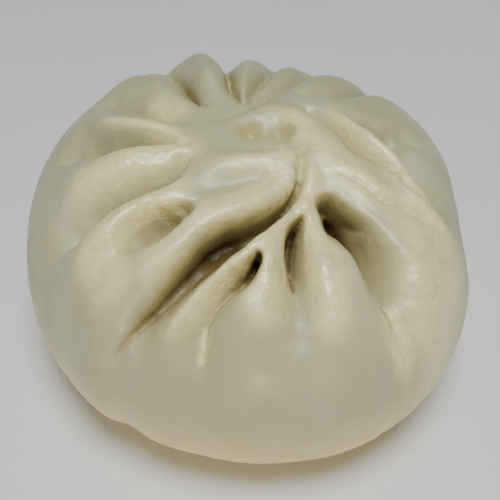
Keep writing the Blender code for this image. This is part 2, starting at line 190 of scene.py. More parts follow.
# The camera stands where the picture was taken from
IMAGE_SIDE = 500
FOCAL_PIXELS = 800.0
SENSOR = 36.0
CAMERA_ELEVATION = math.radians(47.0)
CAMERA_DISTANCE = 195.8
AIM_HEIGHT = 20.0
AIM_PIXEL = (247.9, 258.4)
CLIP_START = 0.01
# How far the finished bun stands from the dome's own axis, in millimetres, once its box is centred
PICTURE_SHIFT = (0.9, 1.05, -FOOT_TRIM)


class Fold(NamedTuple):
    """A valley: left and right are its banks' widths, seen walking from the first path point on.

    Crisp is how steeply the left and the right bank rise off the floor, from a soft bowl at 0 to a wall at
    1, and overhang is how far each leans over it. Lean is how far the floor runs back under the dough, as
    a share of the depth.
    """

    name: str
    path: tuple
    depth: tuple
    left: tuple
    right: tuple
    floor: tuple = (0.0, 0.0)
    crisp: tuple = (1.0, 1.0)
    overhang: tuple = (0.0, 0.0)
    lean: tuple = (0.0, 0.0)


class Swell(NamedTuple):
    """A ridge or lobe raised along a path; a negative rise presses the dough in."""

    name: str
    path: tuple
    rise: tuple
    width: tuple


class Patch(NamedTuple):
    """A stretch of skin with a finish of its own."""

    name: str
    path: tuple
    strength: tuple
    width: float


FRONT_FOLDS = (
    Fold("mouth",
         path=((10, -12), (9, -14.5), (6.5, -17.8), (4, -20.8), (0.9, -23.5), (-2.4, -25.9), (-5.8, -28.2),
               (-8.5, -30.7), (-11.3, -33), (-13.8, -35), (-19, -38.8), (-25, -41.7), (-29, -44)),
         depth=(4, 6.5, 8, 9.5, 11, 11.4, 10.4, 9, 7, 3, 0), left=(2, 2, 2, 2, 2, 2.2, 3, 4, 5.5, 7, 8),
         right=(1.8, 2.2, 2.6, 2.8, 3, 3.4, 4.6, 6, 7.5, 9, 10),
         floor=(0.6, 1.2, 2.8, 4.2, 5.6, 5.2, 3.6, 2.4, 1.4, 0.6, 0.4), crisp=(0.6, 1), overhang=(0, 1.8),
         lean=(0, 0.1, 0.15, 0.2, 0.25, 0.3, 0.25, 0.2, 0.1, 0, 0)),
    Fold("centre_slit",
         path=((11, -20.8), (9.5, -23.4), (8.6, -26.4), (8.5, -29.8), (9, -33.4), (9.5, -38)),
         depth=(4, 8, 9.5, 9.5, 8, 5, 1), left=(1, 1.8, 2.6, 3.2, 3.4, 3.4, 3),
         right=(0.8, 1, 1.2, 1.4, 2.2, 2.8, 3), floor=(0.3, 1.2, 1.5, 1.2, 0.8, 0.5, 0.4),
         crisp=(0.5, 1), lean=(0.4, 0.4, 0.3, 0.2, 0.1, 0, 0)),
    Fold("centre_valley",
         path=((9.4, -27), (9.6, -35), (9.5, -42), (9.3, -49)),
         depth=(1.5, 4, 3.6, 2, 0.4), left=(4, 5, 7, 8), right=(4, 6, 7, 8), crisp=(0, 0)),
    Fold("left_slit",
         path=((2.2, -31), (1, -33.6), (-0.6, -35.8), (-3, -37.5), (-5.6, -39.5), (-7.4, -42), (-8.2, -45),
               (-8.6, -49)),
         depth=(3, 5.5, 6, 5.5, 4.5, 3.8, 2.5, 0.5), left=(1, 1.2, 1.6, 3, 5, 6, 7, 8),
         right=(1.5, 3, 5, 5.5, 6, 7, 8, 8), floor=(0.4, 0.4), crisp=(1, 0.35), lean=(0.5, 0.3, 0.1, 0, 0)),
    Fold("left_slit_crack",
         path=((2.3, -30.8), (1.9, -32.2), (0.9, -34.1), (-0.6, -35.9), (-2.9, -37.3)),
         depth=(6, 10, 10, 8, 5), left=(0.9, 1, 1.2), right=(0.9, 1.1, 1.4),
         floor=(0.4, 1, 1.1, 0.7, 0.4), lean=(0.5, 0.3, 0.1)),
    Fold("right_pocket",
         path=((17.2, -15.6), (18.4, -17.8), (19.8, -21), (21.3, -25), (24, -31.2), (26.6, -35.8),
               (28.4, -38.6), (29.8, -42)),
         depth=(5, 11, 13, 12.5, 11, 9, 6.5, 3, 0.5), left=(0.8, 1.4, 2.6, 5, 7.5, 9, 8, 6.5, 5),
         right=(1, 1.4, 1.6, 1.8, 2.2, 3, 4, 5, 6), floor=(0.5, 1.5, 2.2, 1.8, 1, 0.6, 0.5, 0.4, 0.4),
         crisp=(0.2, 1), lean=(0.3, 0.35, 0.35, 0.3, 0.2, 0.1, 0, 0, 0)),
    Fold("pocket_roof",
         path=((17.2, -16.4), (19.4, -18.8), (22.2, -21.2), (25.4, -23.6)),
         depth=(8, 10, 7.5, 2), left=(1, 1.2, 1.5, 2), right=(4, 7, 8), floor=(0.8, 1.4, 1.4, 0.8),
         crisp=(1, 0), lean=(0.4, 0.4, 0.3)),
    Fold("front_seam",
         path=((28, -38), (28.5, -44), (28, -50)),
         depth=(0, 0.8, 0.8, 0), left=(2, 2), right=(2, 2)),
)

TONGUE_FOLDS = (
    Fold("tongue_top",
         path=((11, -4), (8.5, -2.6), (5, -2.8), (1.7, -3.8), (-2.4, -4), (-6.6, -5)),
         depth=(2.5, 2.8, 2, 1.2, 0.6, 0), left=(3, 4, 5), right=(3, 3.5, 4), crisp=(0.2, 0.4)),
    Fold("tongue_tip",
         path=((11, -4.4), (11, -7.5), (10.4, -10.5), (9.6, -14)),
         depth=(1.5, 3, 3.4, 3.4), left=(2, 2.2), right=(1.6, 2), floor=(0.3, 0.4), crisp=(0.6, 0.8)),
    Fold("tongue_groove",
         path=((5.5, -12), (1.5, -12.5), (-2.5, -13.2), (-7, -15.2), (-10.2, -17.6)),
         depth=(0, 1.2, 1.5, 1, 0), left=(4, 4.5), right=(4, 4.5), crisp=(0, 0)),
)

SIDE_FOLDS = (
    Fold("left_pocket",
         path=((-9.8, -18.8), (-12, -20.8), (-14.5, -22.8), (-17.5, -24.8), (-21, -26.2), (-26, -27.8)),
         depth=(1, 5, 7.5, 8, 6.5, 4, 0.5), left=(1.2, 1.6, 2, 2.2, 2.4, 3), right=(2, 4.5, 7, 8, 7, 4),
         floor=(0, 0.6, 1, 1, 0.6, 0), crisp=(1, 0.15), lean=(0.3, 0.3)),
    Fold("left_crease",
         path=((-12.6, -7.6), (-14.6, -10.8), (-17.6, -13), (-23, -14.4), (-30.4, -17.2), (-39, -22.4)),
         depth=(4, 7.5, 8, 7.5, 6.5, 4.5, 1), left=(1.8, 2.2, 3, 4.5, 6), right=(3, 5, 7, 8.5, 8),
         floor=(0.6, 0.4), crisp=(1, 0.5)),
    Fold("left_hollow",
         path=((-13.5, -2.4), (-18, -1.4), (-24.5, -0.6), (-31, 0), (-36, 2), (-44, 4)),
         depth=(2, 5, 6.6, 7, 6.4, 4.2, 0.5), left=(2.2, 2.8, 3.4, 4, 6), right=(2.5, 4, 6, 7.5, 7),
         floor=(0.3, 0.6, 0.6, 0.4), crisp=(1, 0.1)),
    Fold("upper_left_pleat",
         path=((-14, 6), (-16.5, 8), (-22, 12), (-28.7, 17.5), (-35, 25)),
         depth=(1.5, 4.5, 5, 4.5, 3.5, 1), left=(3, 3.5, 5, 6), right=(5, 7, 9, 10), crisp=(0.9, 0.9)),
    Fold("back_left_pleat",
         path=((-10.2, 13), (-12, 16.5), (-13.8, 21.5), (-16.2, 28), (-21, 39)),
         depth=(3, 6.5, 7, 7, 5, 2), left=(4, 6, 8, 9), right=(4, 6, 7), floor=(0.5, 1.2, 0.5, 0.3)),
    Fold("back_left_tuck",
         path=((-13, 20.5), (-18, 26), (-27, 35)),
         depth=(0.5, 3, 3, 1), left=(3, 4, 5), right=(3, 4, 5)),
    Fold("back_pleat",
         path=((-0.5, 14), (-2.6, 18), (-4, 23.5), (-4.8, 33), (-6, 46)),
         depth=(3, 6.5, 7.5, 7, 6, 2), left=(4, 6, 8), right=(3, 5, 6), floor=(0.3, 0.5, 0.3)),
    Fold("back_branch",
         path=((-0.8, 14.5), (1.6, 22), (4, 30), (8, 45)),
         depth=(3, 5.5, 5.5, 4, 1), left=(4, 5, 6), right=(4, 5, 7), floor=(0.3, 0.3)),
    Fold("arm_back",
         path=((-6.5, 5.5), (-2, 7.5), (3.4, 14.3), (8, 21), (13.6, 31.6), (17, 42)),
         depth=(0.5, 2, 2.5, 4, 5, 4.5, 1), left=(4, 5, 6), right=(5, 6, 7)),
    Fold("back_right_pleat",
         path=((12, 17.5), (17, 18.8), (21, 20.3), (27, 27), (34, 38)),
         depth=(1.5, 3.5, 4.5, 4.5, 2.5), left=(5, 7, 8), right=(5, 7, 8)),
    Fold("right_rim",
         path=((22.4, 8.8), (25, 5.6), (28.2, 2.4), (31.2, -1.4), (35, -6), (39.4, -9.8), (45.5, -15)),
         depth=(1, 5, 6.5, 5.5, 4.4, 3.6, 2.8, 1.8, 0.4), left=(4, 7, 8, 8, 9), right=(1.4, 1.6, 2, 2.4),
         floor=(0.4, 0.5), crisp=(0.1, 1)),
    Fold("arm_crease",
         path=((10, 10), (13.5, 9.2), (17, 6), (20, 1.8), (22.5, -2.2), (27.5, -5.6), (34.5, -10.6),
               (45.5, -17)),
         depth=(0.5, 4, 6, 6, 5.4, 4.6, 3.4, 2, 0.5), left=(3, 4, 4, 3.5), right=(1.6, 1.6, 1.8, 2),
         floor=(0.4, 0.4), crisp=(0.3, 1)),
    Fold("low_arm_crease",
         path=((18, -9.8), (23.5, -12.7), (27, -14.8), (32, -15.5), (40, -17.5)),
         depth=(0.5, 2, 2.4, 2, 0.5), left=(2.5, 3), right=(3, 4), floor=(0.3, 0.3)),
)

SWELLS = (
    Swell("knuckle", ((-6.5, 17), (-8.5, 22), (-10, 30), (-12, 40)), (0.5, 2.5, 3, 3), (4.5, 5.5, 6)),
    Swell("small_back_lobe", ((-0.5, 22), (0, 30), (1, 38)), (0.5, 1.5, 1), (3, 4)),
    Swell("upper_left_lobe", ((-14, 13), (-20, 21), (-27, 30)), (0.5, 2, 1.5), (6, 8)),
    Swell("rim_lobe", ((-15.5, 1.4), (-19, 3.2), (-23.5, 5.2), (-29.5, 7.6), (-34, 11)), (0.6, 2, 2.4, 1.4),
          (2, 2.6, 3)),
    Swell("left_lobe", ((-15.5, -4), (-24, -6), (-34, -8)), (1.6, 3, 2), (3.6, 5.5)),
    Swell("front_left_lobe", ((-14.5, -15.5), (-19, -18), (-24, -20.5), (-33, -26)),
          (1, 1.8, 2.4, 1.4), (2.4, 4)),
    Swell("low_left_lobe", ((-14, -28.5), (-20, -32.5), (-28, -36.5)), (1, 1.8, 1.2), (5, 7)),
    Swell("front_right_lobe", ((36, -26), (42, -20)), (1.6, 1.2), (9, 10)),
    Swell("right_bowl", ((28, 6.6), (31.5, 5.6), (35, 7.4)), (-2.6, -4.6, -2.4), (3, 3.4, 3.2)),
    Swell("right_dent", ((50, -4), (50, 4)), (-1.3, -1.3), (9, 9)),
    Swell("left_pit", ((-36, 10), (-36.5, 10.5)), (-1.5, -1.5), (2, 2)),
    Swell("tongue", ((-12, -8), (-6.5, -9.5), (0.5, -9), (8.1, -7.6)), (0.5, 1.8, 2.4, 2.3), (4.6, 4)),
    Swell("tongue_roll", ((8, -12.8), (3, -16.3), (-1.4, -18.8), (-6.2, -20.8), (-10.2, -22.8), (-14, -28)),
          (1.5, 2.2, 2.2, 2, 1.5, 0.8), (2.6, 3.2)),
    Swell("arm", ((-4.8, 2.9), (1.6, 6.6), (8.1, 7.5), (13.5, 0.6), (17.4, -7.1), (23.6, -13.1), (28, -17)),
          (0.8, 1.8, 2, 1.8, 1.6, 1.6, 0.8), (4, 3.8)),
    Swell("right_ridge", ((20.6, 6.3), (24.8, 1.2), (28.7, -3.4), (32.5, -8.1), (38.9, -15.2)),
          (1.2, 2.4, 2.4, 2, 0.6), (2.8, 3.2)),
    Swell("stem", ((12.6, -7), (12.6, -13), (11.8, -18.5)), (0.5, 1.2, 1), (2, 2.4)),
    Swell("stem_left", ((10, -18.9), (7.3, -22), (4.3, -25.6), (0.5, -29.4), (-4.1, -33.2), (-8.7, -37)),
          (1.5, 3, 3, 2.4, 1.6, 0.8), (2.4, 3.6)),
    Swell("stem_middle", ((8.7, -22), (7.3, -25.3), (5.4, -29.3), (3.9, -33.8), (2, -38.3)),
          (1, 2, 2.2, 1.8, 1), (2.2, 4.5)),
    Swell("stem_right", ((12.2, -19), (13, -24), (14, -29), (15, -35)), (1, 2, 2, 1), (2.2, 4)),
    Swell("gather", ((10, -23), (10, -24)), (-4.5, -4.5), (10, 10)),
    Swell("twist_dimple", ((-0.2, 2.3), (0.8, 1.9)), (-2.4, -2.4), (1.9, 1.9)),
    Swell("side_dimple", ((6.8, 1.2), (7.6, 1)), (-1.4, -1.4), (1.8, 1.8)),
    Swell("crumple", ((2, 1), (5.5, 1.2)), (-0.8, -0.8), (3.2, 3.2)),
)

# Where the skin is damp and finely wrinkled, and where a paler colour is painted on its crests as a
# highlight
DAMP_AND_HIGHLIGHT_PATCHES = (
    Patch("tongue_roll", ((7.3, -13.4), (2.9, -16.7), (-1.4, -19.3), (-6.2, -21.1), (-10, -22.6),
                          (-12.8, -25.8), (-18, -32)), (1, 1, 1, 0.9, 0.6), 3.4),
    Patch("tongue_crest", ((8.5, -7.5), (1, -9), (-8, -9.5)), (0.7, 0.6, 0.3), 3.4),
    Patch("arm", ((6, 6), (11, 3.5), (14, -2), (18, -8), (24, -13), (30, -16)),
          (0.3, 0.7, 1, 1, 0.9, 0.6), 4.4),
    Patch("right_ridge", ((19, 8), (24.8, 1.2), (28.7, -3.4), (32.5, -8.1), (38, -13)),
          (0.6, 1, 1, 0.9, 0.5), 3.6),
    Patch("front_right_lobe", ((35, -17), (37.5, -25), (36, -34)), (0.9, 1, 0.9), 7.5),
    Patch("left_lobe", ((-14.5, -4), (-22, -6.5), (-32, -9)), (0.8, 1, 0.7), 5.0),
    Patch("left_ridge", ((-15, -15.5), (-23, -18.5), (-28.5, -25), (-26, -32)), (0.8, 1, 1, 0.7), 4.6),
    Patch("low_left_lobe", ((-13, -26.5), (-18, -30)), (0.7, 0.5), 3.6),
    Patch("upper_left", ((-16.5, 10), (-20, 14)), (0.9, 0.6), 3.0),
    Patch("rim_lobe", ((-16, 1.6), (-24, 5.6), (-31, 8.6)), (0.8, 0.7, 0.5), 2.2),
    Patch("left_slit_end", ((-7.4, -41), (-8.4, -45)), (1, 0.8), 1.0),
    Patch("pocket_end", ((27.5, -36), (29.8, -41)), (0.8, 1), 3.0),
    Patch("mouth_floor", ((-6, -27), (-9, -29.5)), (1, 1), 1.4),
    Patch("stem", ((13, -8), (12, -16), (4, -24.5), (-4, -33), (-14, -40)), (0.5, 1, 1, 0.9, 0.6), 3.0),
    Patch("stem_middle", ((7.5, -25), (5, -31), (3, -39)), (0.8, 1, 0.8), 4.0),
    Patch("stem_right", ((13, -22), (15, -32), (16, -40)), (0.8, 1, 0.7), 3.8),
)

STAIN_PATCHES = (
    Patch("twist_dimple", ((-0.6, 2.2), (1, 2)), (1, 1), 2.3),
    Patch("side_dimple", ((5.8, 1.6), (8.4, 1.4)), (0.7, 0.7), 2.2),
)


def ease(share):
    """A smooth step from 0 to 1."""
    share = np.clip(share, 0, 1)
    return share * share * (3 - 2 * share)


def along(values, share):
    """A smooth run through evenly spaced values, read at a share of the way."""
    values = np.array(values, float)
    place = share * (len(values) - 1)
    first = np.clip(place.astype(int), 0, len(values) - 2)
    step = ease(place - first)
    return values[first] * (1 - step) + values[first + 1] * step


def even_points(line, count):
    """The same line with its points evenly spaced."""
    steps = np.linalg.norm(np.diff(line, axis=0), axis=1)
    run = np.concatenate([[0], np.cumsum(steps)])
    places = np.linspace(0, run[-1], count)
    return np.stack([np.interp(places, run, axis) for axis in line.T], 1)


def curve_through(points):
    """A smooth line on the plan through the path's points (a Catmull-Rom curve)."""
    points = np.array(points, float)
    ends = 2 * points[[0, -1]] - points[[1, -2]]
    points = np.vstack([ends[0], points, ends[1]])
    share = np.linspace(0, 1, PATH_STEPS // 2, endpoint=False)[:, None]
    pieces = []
    for a, b, c, d in zip(points, points[1:], points[2:], points[3:]):
        cubic = (3 * b - a - 3 * c + d) * share ** 3
        square = (2 * a - 5 * b + 4 * c - d) * share ** 2
        pieces.append(0.5 * (2 * b + (c - a) * share + square + cubic))
    pieces.append(points[-2][None])
    return even_points(np.vstack(pieces), PATH_STEPS)


def nearest_on(line, plan):
    """For each plan point: distance, share along the line, leftness (0 to 1) and the way to the line."""
    start = line[:-1]
    step = np.diff(line, axis=0)
    offset = plan[:, None] - start
    share = np.clip((offset * step).sum(-1) / (step * step).sum(-1), 0, 1)
    offset = offset - share[..., None] * step
    distance = np.linalg.norm(offset, axis=-1)
    nearest = distance.argmin(1)
    rows = np.arange(len(plan))
    distance = np.maximum(distance[rows, nearest], TINY)
    offset = offset[rows, nearest]
    step = step[nearest]
    turn = step[:, 0] * offset[:, 1] - step[:, 1] * offset[:, 0]
    leftness = 0.5 + 0.5 * turn / (distance * np.linalg.norm(step, axis=1))
    share = (nearest + share[rows, nearest]) / len(start)
    return distance, share, np.clip(leftness, 0, 1), -offset / distance[:, None]


def near_line(line, plan, reach):
    """The numbers of the plan points in the line's box widened by the reach."""
    return np.flatnonzero(((plan > line.min(0) - reach) & (plan < line.max(0) + reach)).all(1))


def dome_outline():
    """Radius and height of the dome from its top, round the belly, to the rim of its foot."""
    turn = np.linspace(0, math.pi / 2, OUTLINE_STEPS)
    top = np.stack([np.sin(turn) ** (2 / SHOULDER_FULLNESS) * RADIUS,
                    BELLY_HEIGHT + (HEIGHT - BELLY_HEIGHT) * np.cos(turn) ** (2 / SHOULDER_FULLNESS)], 1)
    full_tuck = (1 - (FOOT_RADIUS / RADIUS) ** TUCK_FULLNESS) ** (1 / TUCK_FULLNESS)
    drop = np.linspace(0, 1, OUTLINE_STEPS // 2)
    side = np.stack([RADIUS * (1 - (drop * full_tuck) ** TUCK_FULLNESS) ** (1 / TUCK_FULLNESS),
                     BELLY_HEIGHT * (1 - drop)], 1)
    skin = even_points(np.vstack([top, side[1:]]), OUTLINE_STEPS)
    spacing = np.linalg.norm(skin[1] - skin[0])
    steps = np.arange(OUTLINE_STEPS) - np.arange(OUTLINE_STEPS)[:, None]
    weight = np.exp(-(steps * spacing / BELLY_SOFTENING) ** 2)
    soft = weight @ skin / weight.sum(1, keepdims=True)
    nearness = np.exp(-((skin[:, 1:] - BELLY_HEIGHT) / (2 * BELLY_SOFTENING)) ** 2)
    return skin + (soft - skin) * nearness


def bank_profile(fold, distance, share, leftness):
    """The share of a fold's depth that a point keeps, 1 on the floor and 0 past the bank."""
    width = along(fold.left, share) * leftness + along(fold.right, share) * (1 - leftness)
    crisp = fold.crisp[0] * leftness + fold.crisp[1] * (1 - leftness)
    up_bank = np.clip((distance - along(fold.floor, share) / 2) / width, 0, 1)
    round_shoulder = 1 - np.sqrt(1 - (1 - up_bank) ** 2)
    soft_bowl = 1 - ease(up_bank)
    return crisp * round_shoulder + (1 - crisp) * soft_bowl


def press_fold(fold, plan, sunk, lean, shift, creased):
    """Adds one fold's depth, its lean, its banks' overhang and its crease line of painted shade to the
    points near it.
    """
    line = curve_through(fold.path)
    near = near_line(line, plan, max(fold.left + fold.right) + max(fold.floor) + OVERHANG_REACH)
    distance, share, leftness, inward = nearest_on(line, plan[near])
    depth = along(fold.depth, share)
    profile = bank_profile(fold, distance, share, leftness)
    pressed = (depth * profile) ** MEETING_SHARPNESS
    sunk[near] += pressed
    lean[near] += pressed * along(fold.lean, share)
    past_floor = np.maximum(distance - along(fold.floor, share) / 2, 0)
    overhang = fold.overhang[0] * leftness + fold.overhang[1] * (1 - leftness)
    overhang *= (1 - profile) * np.exp(-(past_floor / OVERHANG_REACH) ** 2)
    overhang *= np.clip(depth / FULL_OVERHANG_DEPTH, 0, 1)
    shift[near] += inward * overhang[:, None]
    # The crease's line of painted shade
    crease = np.exp(-(past_floor / CREASE_WIDTH) ** 2) * SHADED_CREASES.get(fold.name, 0)
    crease *= np.clip((depth - UNCREASED_DEPTH) / CREASING_RANGE, 0, 1)
    creased[near] = np.maximum(creased[near], crease)


def raise_swell(swell, plan, rise):
    """Adds one swell's height to the points near it."""
    line = curve_through(swell.path)
    near = near_line(line, plan, SWELL_REACH * max(swell.width))
    distance, share, _, _ = nearest_on(line, plan[near])
    rise[near] += along(swell.rise, share) * np.exp(-(distance / along(swell.width, share)) ** 2)


def patch_mask(patches, plan):
    """How strongly each plan point lies in the patches, from 0 to 1."""
    mask = np.zeros(len(plan))
    for patch in patches:
        line = curve_through(patch.path)
        near = near_line(line, plan, SWELL_REACH * patch.width)
        distance, share, _, _ = nearest_on(line, plan[near])
        amount = along(patch.strength, share) * np.exp(-(distance / patch.width) ** 2)
        mask[near] = np.maximum(mask[near], amount)
    return mask


def vertex_places(mesh):
    """The vertices' places, one row each."""
    places = np.empty(len(mesh.vertices) * 3, np.float32)
    mesh.vertices.foreach_get("co", places)
    return places.reshape(-1, 3).astype(float)


def place_vertices(mesh, places):
    """Moves the vertices to their new places."""
    mesh.vertices.foreach_set("co", places.astype(np.float32).ravel())
    mesh.update()


def vertex_normals(mesh):
    """The way that the skin faces at each vertex."""
    normals = np.empty(len(mesh.vertices) * 3, np.float32)
    mesh.vertex_normals.foreach_get("vector", normals)
    return normals.reshape(-1, 3).astype(float)


def deselect_all():
    """Leaves edit mode and selects nothing, so that an operator acts on the new piece alone."""
    if bpy.context.object and bpy.context.object.mode != "OBJECT":
        bpy.ops.object.mode_set(mode="OBJECT")
    bpy.ops.object.select_all(action="DESELECT")


def apply_modifier(piece, kind, **values):
    """Adds a modifier with its values and applies it."""
    modifier = piece.modifiers.new(kind.lower(), kind)
    for name, value in values.items():
        setattr(modifier, name, value)
    bpy.ops.object.modifier_apply(modifier=modifier.name)


def ball_to_dome(mesh):
    """Slides the rings of a ball along the dome's outline, in millimetres, and waves its plan."""
    places = vertex_places(mesh)
    size = np.linalg.norm(places, axis=1)
    ring = np.arccos(np.clip(places[:, 2] / size, -1, 1)) / math.pi
    skin = dome_outline()
    skin_at = np.linspace(0, SKIN_SHARE, len(skin))
    radius = np.interp(ring, skin_at, skin[:, 0])
    height = np.interp(ring, skin_at, skin[:, 1])
    under = ring > SKIN_SHARE
    radius[under] = FOOT_RADIUS * (1 - ring[under]) / (1 - SKIN_SHARE)
    height[under] = 0
    bearing = np.arctan2(places[:, 1], places[:, 0])
    for turns, cosine, sine in OUTLINE_WAVES:
        wave = cosine * np.cos(turns * bearing) + sine * np.sin(turns * bearing)
        radius = radius * (1 + wave / RADIUS)
    places = np.stack([radius * np.cos(bearing), radius * np.sin(bearing), height], 1)
    place_vertices(mesh, places)


def press_pleats(mesh):
    """Presses the folds and raises the lobes, and returns how deep in a fold each vertex is coloured with
    painted shade.
    """
    places = vertex_places(mesh)
    outward = vertex_normals(mesh)
    plan = places[:, :2].copy()
    sunk = np.zeros(len(places))
    lean = np.zeros(len(places))
    shift = np.zeros((len(places), 2))
    rise = np.zeros(len(places))
    creased = np.zeros(len(places))
    for fold in FRONT_FOLDS + TONGUE_FOLDS + SIDE_FOLDS:
        press_fold(fold, plan, sunk, lean, shift, creased)
    for swell in SWELLS:
        raise_swell(swell, plan, rise)
    upper = ease((places[:, 2] - PLEATS_END_HEIGHT) / (PLEATS_FULL_HEIGHT - PLEATS_END_HEIGHT))
    lean /= np.maximum(sunk, TINY)
    sunk = sunk ** (1 / MEETING_SHARPNESS)
    shift[:, 1] += lean * sunk
    places += outward * ((rise - sunk) * upper)[:, None]
    places[:, :2] += shift * upper[:, None]
    place_vertices(mesh, places)
    return np.maximum(sunk, CREASE_SHADE * creased) * upper


def noise_at(places, size, seed):
    """Smooth noise from -1 to 1 with features of a size in millimetres."""
    offset = Vector([seed * step for step in NOISE_STEP])
    return np.array([noise.noise(Vector(place) / size + offset) for place in places])


def roughen_skin(mesh, settings):
    """Gives the dough its unevenness, and fine wrinkles where it is damp and stretched."""
    places = vertex_places(mesh)
    outward = vertex_normals(mesh)
    lift = np.zeros(len(places))
    for seed, (size, share) in enumerate(BUMPS, 1):
        lift += share * settings.unevenness * noise_at(places, size, seed)
    damp = patch_mask(DAMP_AND_HIGHLIGHT_PATCHES, places[:, :2])
    wrinkled = np.flatnonzero((damp > LEAST_WRINKLED) & (places[:, 2] > BELLY_HEIGHT))
    wrinkle = np.zeros(len(wrinkled))
    for seed, (size, ridge, slope) in enumerate(WRINKLES, 1 + len(BUMPS)):
        wrinkle += ridge - slope * np.abs(noise_at(places[wrinkled], size, seed))
    lift[wrinkled] += settings.wrinkle_height * damp[wrinkled] * wrinkle
    lift *= ease(places[:, 2] / PLEATS_END_HEIGHT)
    place_vertices(mesh, places + outward * lift[:, None])


def keep_masks(mesh, pressed_places, sunk):
    """Writes how deep, how damp and how stained each vertex is into a colour attribute."""
    tree = kdtree.KDTree(len(pressed_places))
    for number, place in enumerate(pressed_places):
        tree.insert(place, number)
    tree.balance()
    places = vertex_places(mesh)
    deep = np.array([sunk[tree.find(place)[1]] for place in places]) / DEEPEST_FOLD
    masks = np.ones((len(places), 4), np.float32)
    masks[:, 0] = np.clip(deep, 0, 1)
    masks[:, 1] = patch_mask(DAMP_AND_HIGHLIGHT_PATCHES, places[:, :2]) * (places[:, 2] > BELLY_HEIGHT)
    masks[:, 2] = patch_mask(STAIN_PATCHES, places[:, :2]) * (places[:, 2] > BELLY_HEIGHT)
    layer = mesh.color_attributes.new(MASKS, "FLOAT_COLOR", "POINT")
    layer.data.foreach_set("color", masks.ravel())


def flatten_foot(piece):
    """Cuts the dough flat where it rests."""
    bpy.ops.object.mode_set(mode="EDIT")
    bpy.ops.mesh.select_all(action="SELECT")
    bpy.ops.mesh.bisect(plane_co=(0, 0, FOOT_TRIM), plane_no=(0, 0, 1), use_fill=True,
                        clear_inner=True)
    bpy.ops.object.mode_set(mode="OBJECT")


def centre_shift(places):
    """The move that centres the dough's plan and sets its trimmed foot at height 0, in millimetres."""
    middle = (places.min(0) + places.max(0)) / 2
    return np.array([-middle[0], -middle[1], -FOOT_TRIM])


class NodeMaker:
    """Adds and joins the nodes of one material."""

    ROW_LENGTH = 12
    LEFT, TOP = -2400, 600
    COLUMN_WIDTH, ROW_HEIGHT = 180, 260
    # The colour mix node's sockets: its share, its two colours and its result
    SHARE, FIRST_COLOUR, SECOND_COLOUR = 0, 6, 7
    MIXED_COLOUR = 2

    def __init__(self, name):
        self.material = bpy.data.materials.new(name)
        self.material.use_nodes = True
        self.tree = self.material.node_tree
        self.surface = self.tree.nodes["Principled BSDF"]
        self.count = 0

    def add(self, kind, inputs=None, **values):
        """A node with its values set and its inputs given as numbers or as other nodes' outputs."""
        node = self.tree.nodes.new(kind)
        self.count += 1
        row, column = divmod(self.count, self.ROW_LENGTH)
        node.location = (self.LEFT + self.COLUMN_WIDTH * column, self.TOP - self.ROW_HEIGHT * row)
        for name, value in values.items():
            setattr(node, name, value)
        for name, value in (inputs or {}).items():
            self.feed(node.inputs[name], value)
        return node

    def feed(self, socket, value):
        """Joins another node's output to the socket, or sets its number or colour."""
        if isinstance(value, bpy.types.NodeSocket):
            self.tree.links.new(value, socket)
        else:
            socket.default_value = value

    def dress(self, inputs):
        """Feeds the surface's inputs and returns the finished material."""
        for name, value in inputs.items():
            self.feed(self.surface.inputs[name], value)
        return self.material

    def math(self, operation, first, second=0.0):
        return self.add("ShaderNodeMath", {0: first, 1: second}, operation=operation).outputs[0]

    def times(self, first, second):
        return self.math("MULTIPLY", first, second)

    def span(self, value, low, high, out_low=0.0, out_high=1.0):
        """The value's place between low and high, eased, as a number between the two outs."""
        return self.add("ShaderNodeMapRange", {"Value": value, "From Min": low, "From Max": high,
                                               "To Min": out_low, "To Max": out_high},
                        interpolation_type="SMOOTHSTEP").outputs[0]

    def blend(self, share, first, second):
        """The first colour with its share of the second laid over it."""
        node = self.add("ShaderNodeMix", data_type="RGBA")
        self.feed(node.inputs[self.SHARE], share)
        self.feed(node.inputs[self.FIRST_COLOUR], first)
        self.feed(node.inputs[self.SECOND_COLOUR], second)
        return node.outputs[self.MIXED_COLOUR]

    def noise(self, place, scale, detail, roughness):
        return self.add("ShaderNodeTexNoise", {"Vector": place, "Scale": scale, "Detail": detail,
                                               "Roughness": roughness}).outputs[0]

    def bump(self, height, distance, strength, normal=None):
        """A normal bent by a height, over another normal if one is given."""
        inputs = {"Height": height, "Distance": distance, "Strength": strength}
        if normal is not None:
            inputs["Normal"] = normal
        return self.add("ShaderNodeBump", inputs).outputs[0]


def rgba(colour):
    """The colour with full strength as its fourth number."""
    return (*colour, 1.0)


